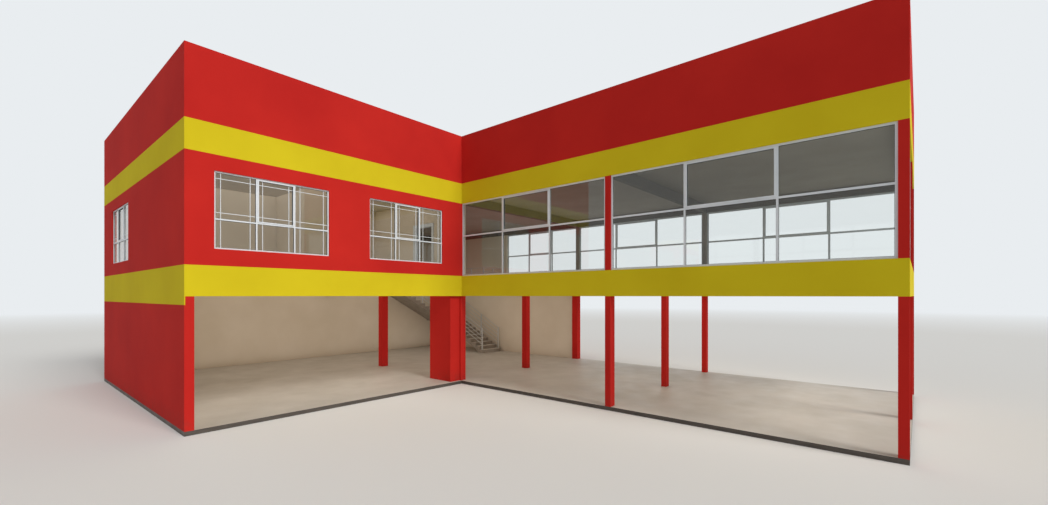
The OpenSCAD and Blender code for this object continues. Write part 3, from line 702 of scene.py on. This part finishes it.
ends = node(tree, "GeometryNodeInstanceOnPoints", {"Points": rows, "Instance": end_lap})
close_tree(tree, node(tree, "GeometryNodeJoinGeometry", {"Geometry": [field, laps, ends]}),
           given["Material"])
FRONT_IN = CORNER_X - WALL
WING_SPLIT_Y = CORNER_Y + WALL
trays = {
    "roof_felt_left_wing": (LEFT_IN, WALL - HALF_Y, FRONT_IN - LEFT_IN, WING_SPLIT_Y, 9, 3),
    "roof_felt_right_wing": (LEFT_IN, WING_SPLIT_Y, 2 * (HALF_X - WALL), BACK_IN, 8, 8),
}
for name, (x, y, length, y_end, sheets, seed) in trays.items():
    sheet_piece = grow(name, tree, [(0, 0, 0)], Matrix.Translation((x, y, ROOF_Z)),
                       Length=length, Sheet_width=(y_end - y) / sheets, Sheets=sheets,
                       Thickness=FELT_T, Lap=LAP, Seed=seed, Material=felt)
    keep(sheet_piece)


def sweep(name, profile, path, material):
    """Sweeps a closed profile round a closed path that runs counterclockwise in plan, with
    mitred corners. The profile gives distances inwards from the path, and heights."""
    mesh = bmesh.new()
    loops = []
    for i, here in enumerate(path):
        before, after = path[i - 1], path[(i + 1) % len(path)]
        one = (Vector(here) - Vector(before)).normalized()
        two = (Vector(after) - Vector(here)).normalized()
        in_one, in_two = Vector((-one.y, one.x)), Vector((-two.y, two.x))
        mitre = (in_one + in_two) / (1 + in_one.dot(in_two))
        loops.append([mesh.verts.new((here[0] + mitre.x * d, here[1] + mitre.y * d, z))
                      for d, z in profile])
    for i, loop in enumerate(loops):
        following = loops[(i + 1) % len(loops)]
        for k in range(len(profile)):
            m = (k + 1) % len(profile)
            mesh.faces.new((loop[k], following[k], following[m], loop[m]))
    return from_bmesh(name, mesh, material)


tray_path = [(LEFT_IN, WALL - HALF_Y), (FRONT_IN, WALL - HALF_Y), (FRONT_IN, WING_SPLIT_Y),
             (HALF_X - WALL, WING_SPLIT_Y), (HALF_X - WALL, BACK_IN), (LEFT_IN, BACK_IN)]
upstand_profile = [(0, ROOF_Z), (FILLET + FELT_T, ROOF_Z),
                   (FILLET + FELT_T, ROOF_Z + FILLET_FOOT),
                   (FELT_T, ROOF_Z + FILLET_FOOT + FILLET),
                   (FELT_T, PARAPET_FOOT), (0, PARAPET_FOOT)]
upstand = sweep("roof_felt_upstand", upstand_profile, tray_path, felt)
keep(upstand)

# Pressure bar: a flat strip of extruded aluminium that clamps the felt's upper edge to the
# parapet, with a screw about every 300 mm. Left as it came from the mill, it has a soft
# grey shine with faint lines along its length.
BAR_TOP, STRIP_H, STRIP_T = PARAPET_FOOT + 0.010, 0.040, 0.004
SCREW_R, SCREW_H, SCREW_STEP = 0.006, 0.004, 0.300
MILL, MILL_DEEP = linear("C6C8CA"), linear("B2B5B8")
mill, tree, shader, place = finish("mill_finish_aluminium", Metallic=1.0)
# The die's lines are under 1 mm apart and are drawn 20 mm apart to show.
surface(tree, shader, tint(tree, MILL, MILL_DEEP, clouds(tree, place, 0.3, 3)),
        gloss=(clouds(tree, place, 0.02, 3, (6, 6, 1)), 0.32, 0.5))
strip_profile = [(FELT_T, BAR_TOP - STRIP_H), (FELT_T + STRIP_T, BAR_TOP - STRIP_H),
                 (FELT_T + STRIP_T, BAR_TOP), (0, BAR_TOP), (0, PARAPET_FOOT),
                 (FELT_T, PARAPET_FOOT)]
strip = sweep("parapet_pressure_bar", strip_profile, tray_path, mill)
keep(strip)

screw_points, screw_turns = [], []
for i, start in enumerate(tray_path):
    end = tray_path[(i + 1) % len(tray_path)]
    run = Vector(end) - Vector(start)
    along, inwards = run.normalized(), Vector((-run.y, run.x)).normalized()
    gaps = round(run.length / SCREW_STEP)
    for k in range(gaps):
        spot = Vector(start) + along * (k + 0.5) * run.length / gaps
        spot += inwards * (FELT_T + STRIP_T)
        screw_points.append((spot.x, spot.y, BAR_TOP - STRIP_H / 2))
        screw_turns.append(math.atan2(inwards.y, inwards.x))
tree, given = new_tree("screws", Radius="Float", Head_height="Float", Material="Material")
head = node(tree, "GeometryNodeMeshCylinder", {"Vertices": 8, "Radius": given["Radius"],
                                               "Depth": given["Head height"]})
head = node(tree, "GeometryNodeTransform", {"Geometry": head.outputs["Mesh"],
                                            "Rotation": (0.0, math.pi / 2, 0.0)})
turn = node(tree, "GeometryNodeInputNamedAttribute", {"Name": "turn"}, data_type="FLOAT")
heads = node(tree, "GeometryNodeInstanceOnPoints", {
    "Points": given["Geometry"], "Instance": head,
    "Rotation": node(tree, "ShaderNodeCombineXYZ", {"Z": turn})})
close_tree(tree, heads, given["Material"])
screws = grow("pressure_bar_screws", tree, screw_points, turns=screw_turns,
              Radius=SCREW_R, Head_height=SCREW_H, Material=mill)
keep(screws)


# Studio: a pale matt floor under the building, which far from it fades into a pale
# backdrop, one soft sun and an even sky.
BACKDROP, STUDIO_FLOOR, SKY = linear("E9EDF0"), linear("DCDBD8"), linear("F4F7FA")
FLOOR_R, FADE_FROM, FADE_TO, SKY_FILL = 400.0, 45.0, 110.0, 0.42
KEY_FROM, KEY_COLOUR = Vector((0.78, -0.02, 0.62)), (1.0, 0.98, 0.95)
KEY_POWER, KEY_ANGLE = 2.3, 0.45
stage_mat, tree, shader, place = finish("pale_studio_floor", Roughness=0.9,
                                        Base_Color=STUDIO_FLOOR)
output = next(n for n in tree.nodes if n.type == "OUTPUT_MATERIAL")
flat = node(tree, "ShaderNodeVectorMath", {0: place}, operation="LENGTH").outputs["Value"]
fade = node(tree, "ShaderNodeMapRange", {
    "Value": flat, "From Min": FADE_FROM, "From Max": FADE_TO})
far = node(tree, "ShaderNodeEmission", {"Color": BACKDROP, "Strength": 1.0})
tree.links.new(node(tree, "ShaderNodeMixShader", {0: fade, 1: shader, 2: far}).outputs[0],
               output.inputs["Surface"])
mesh = bmesh.new()
bmesh.ops.create_circle(mesh, cap_ends=True, segments=96, radius=FLOOR_R)
floor = from_bmesh("studio_floor", mesh, stage_mat)

world = bpy.data.worlds.new("soft_studio")
bpy.context.scene.world = world
world.use_nodes = True
tree = world.node_tree
tree.nodes.clear()
ray = node(tree, "ShaderNodeLightPath")
seen = node(tree, "ShaderNodeMath", {0: ray.outputs["Is Camera Ray"],
                                     1: ray.outputs["Is Glossy Ray"]}, operation="MAXIMUM")
seen = node(tree, "ShaderNodeMath", {0: seen, 1: ray.outputs["Is Transmission Ray"]},
            operation="MAXIMUM")
fill = node(tree, "ShaderNodeBackground", {"Color": SKY, "Strength": SKY_FILL})
pale = node(tree, "ShaderNodeBackground", {"Color": BACKDROP, "Strength": 1.0})
node(tree, "ShaderNodeOutputWorld", {
    "Surface": node(tree, "ShaderNodeMixShader", {0: seen, 1: fill, 2: pale})})

lamp = bpy.data.lights.new("soft_key", "SUN")
lamp.energy, lamp.angle, lamp.color = KEY_POWER, KEY_ANGLE, KEY_COLOUR
key = bpy.data.objects.new("soft_key", lamp)
bpy.context.scene.collection.objects.link(key)
key.rotation_euler = KEY_FROM.to_track_quat("Z", "Y").to_euler()

# Soft panels, which no picture shows, stand for the daylight that the sunlit floors throw
# up at the walls and soffits and that the open sides let down on the floors. Each has its
# middle, width, depth, turn about X and power.
PANEL_COLOUR = (1.0, 0.97, 0.92)
PANELS = {
    "down_left_wing": (-6.470, 0.0, 3.552, 10.2, 15.8, 0.0, 180.0),
    "down_right_wing": (5.350, 4.300, 3.552, 12.2, 7.2, 0.0, 150.0),
    "up_left_wing": (-6.470, 0.0, 0.114, 9.8, 15.4, math.pi, 150.0),
    "up_right_wing": (5.350, 4.300, 0.114, 11.8, 7.2, math.pi, 45.0),
    "down_rooms": (-6.470, -4.0, 7.082, 10.2, 7.8, 0.0, 130.0),
    "up_rooms": (-6.470, -4.0, 3.764, 9.8, 7.6, math.pi, 60.0),
    "down_hall": (2.400, 4.300, 7.082, 18.0, 7.2, 0.0, 45.0),
    "up_hall": (-3.800, 4.300, 3.764, 13.0, 7.2, math.pi, 80.0),
}
for name, (x, y, z, width, depth, turned, watts) in PANELS.items():
    panel = bpy.data.lights.new(name, "AREA")
    panel.shape, panel.size, panel.size_y, panel.energy = "RECTANGLE", width, depth, watts
    panel.color = PANEL_COLOUR
    hung = bpy.data.objects.new(name, panel)
    hung.location, hung.rotation_euler = (x, y, z), (turned, 0.0, 0.0)
    hung.visible_camera = hung.visible_glossy = hung.visible_transmission = False
    bpy.context.scene.collection.objects.link(hung)

# Camera: level, a storey above the ground, looking into the angle of the L as in the photo.
EYE, TURN = (12.082, -11.424, 3.310), 0.7073
lens = bpy.data.cameras.new("camera")
lens.sensor_width, lens.lens, lens.shift_y = 36.0, 15.92, 0.0410
lens.clip_end = 2000.0
camera = bpy.data.objects.new("camera", lens)
bpy.context.scene.collection.objects.link(camera)
camera.location = EYE
camera.rotation_euler = (math.pi / 2, 0.0, TURN)
bpy.context.scene.camera = camera
bpy.context.scene.view_settings.view_transform = "Standard"
